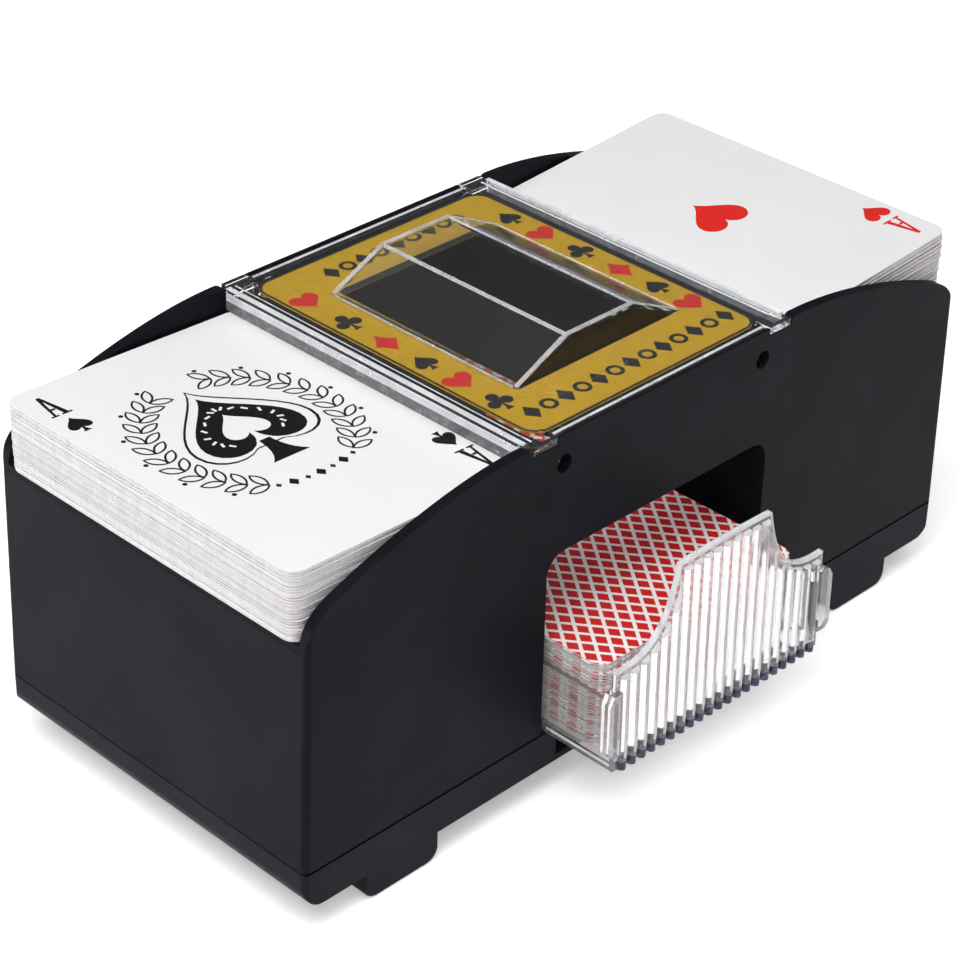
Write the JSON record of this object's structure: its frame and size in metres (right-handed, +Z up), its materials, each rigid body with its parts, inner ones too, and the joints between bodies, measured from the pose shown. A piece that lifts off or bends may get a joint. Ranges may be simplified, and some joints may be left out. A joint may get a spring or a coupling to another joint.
{
  "type": "card shuffler",
  "caption": "Battery-powered playing-card shuffler: sloped card hoppers at both ends, roller feed under a clear lid, and a clear ribbed tray that slides out at the front.",
  "frame": {"origin": "centre of the whole part's footprint on the table, with the tray as far out as at rest", "axes": "+X along the length, from the left hopper to the right one; the tray draws out towards -Y; +Z up from the table"},
  "size_m": [0.205, 0.1192, 0.0969],
  "materials": {
    "black": "satin",
    "black_base": "fine texture",
    "clear": "polished, clear",
    "gold": "printed gold sheet",
    "card": "coated card",
    "card_back": "coated card with a printed red lattice back",
    "steel": "plain",
    "brass": "turned",
    "rubber": "moulded",
    "nylon": "natural nylon",
    "cell": "plain sleeve",
    "button": "polished",
    "switch": "plain"
  },
  "bodies": {
    "case": {"upper_housing": "black", "base": "black_base", "shaft_bush_left_front": "brass", "shaft_bush_left_back": "brass", "shaft_bush_right_front": "brass", "shaft_bush_right_back": "brass", "gear_axle_left": "steel", "gear_axle_right": "steel", "motor_can_left": "steel", "motor_can_right": "steel", "motor_end_cap_left": "switch", "motor_end_cap_right": "switch", "battery_1": "cell", "battery_2": "cell", "battery_3": "cell", "battery_4": "cell", "battery_contact_front": "steel", "battery_contact_plus": "steel", "battery_contact_minus": "steel", "switch_body": "switch", "case_screw_1": "steel", "case_screw_2": "steel", "case_screw_3": "steel", "case_screw_4": "steel"},
    "lid_cover": {"lid": "clear", "label_plate": "gold"},
    "tray": {"output_tray": "clear"},
    "deck_out_stack": {"deck_out": "card_back"},
    "deck_left_stack": {"deck_left": "card"},
    "deck_right_stack": {"deck_right": "card"},
    "door": {"battery_door": "black_base"},
    "button": {"start_button": "button"},
    "feed_roller_left": {"roller_shaft_left": "steel", "feed_tyre_left_front": "rubber", "feed_tyre_left_back": "rubber", "roller_gear_left": "nylon"},
    "idler_left": {"compound_gear_left": "nylon"},
    "motor_rotor_left": {"motor_pinion_left": "brass"},
    "feed_roller_right": {"roller_shaft_right": "steel", "feed_tyre_right_front": "rubber", "feed_tyre_right_back": "rubber", "roller_gear_right": "nylon"},
    "idler_right": {"compound_gear_right": "nylon"},
    "motor_rotor_right": {"motor_pinion_right": "brass"}
  },
  "joints": [
    {"name": "tray_slide", "type": "slide", "parent": "case", "child": "tray", "axis": [0, -1, 0], "range_m": [-0.0175, 0.07]},
    {"name": "deck_out_lift", "type": "slide", "parent": "tray", "child": "deck_out_stack", "axis": [0, 0, 1], "range_m": [0, 0.02]},
    {"name": "lid_lift", "type": "slide", "parent": "case", "child": "lid_cover", "axis": [0, 0, 1], "range_m": [0, 0.05]},
    {"name": "deck_left_slide", "type": "slide", "parent": "case", "child": "deck_left_stack", "axis": [-0.9994, 0, 0.0344], "range_m": [0, 0.06]},
    {"name": "deck_right_slide", "type": "slide", "parent": "case", "child": "deck_right_stack", "axis": [0.9994, 0, 0.0344], "range_m": [0, 0.06]},
    {"name": "battery_door_release", "type": "slide", "parent": "case", "child": "door", "axis": [0, 0, -1], "range_m": [0, 0.03]},
    {"name": "start_button_press", "type": "slide", "parent": "case", "child": "button", "axis": [0, -1, 0], "range_m": [0, 0.0022], "stiffness_N_per_m": 300, "springref_m": -0.003},
    {"name": "feed_roller_left_spin", "type": "hinge", "parent": "case", "child": "feed_roller_left", "pos_m": [-0.047, 0.00898, 0.0591], "axis": [0, 1, 0], "continuous": true},
    {"name": "idler_left_spin", "type": "hinge", "parent": "case", "child": "idler_left", "pos_m": [-0.05288, 0.04598, 0.05126], "axis": [0, 1, 0], "continuous": true},
    {"name": "motor_left_spin", "type": "hinge", "parent": "case", "child": "motor_rotor_left", "pos_m": [-0.05876, 0.04698, 0.04342], "axis": [0, 1, 0], "continuous": true},
    {"name": "feed_roller_right_spin", "type": "hinge", "parent": "case", "child": "feed_roller_right", "pos_m": [0.047, 0.00898, 0.0591], "axis": [0, 1, 0], "continuous": true},
    {"name": "idler_right_spin", "type": "hinge", "parent": "case", "child": "idler_right", "pos_m": [0.05288, 0.04598, 0.05126], "axis": [0, 1, 0], "continuous": true},
    {"name": "motor_right_spin", "type": "hinge", "parent": "case", "child": "motor_rotor_right", "pos_m": [0.05876, 0.04698, 0.04342], "axis": [0, 1, 0], "continuous": true}
  ],
  "couplings": [
    {"joint": "idler_left_spin", "follows": "feed_roller_left_spin", "ratio": -1.8},
    {"joint": "motor_left_spin", "follows": "feed_roller_left_spin", "ratio": 4.5},
    {"joint": "idler_right_spin", "follows": "feed_roller_right_spin", "ratio": -1.8},
    {"joint": "motor_right_spin", "follows": "feed_roller_right_spin", "ratio": 4.5}
  ]
}
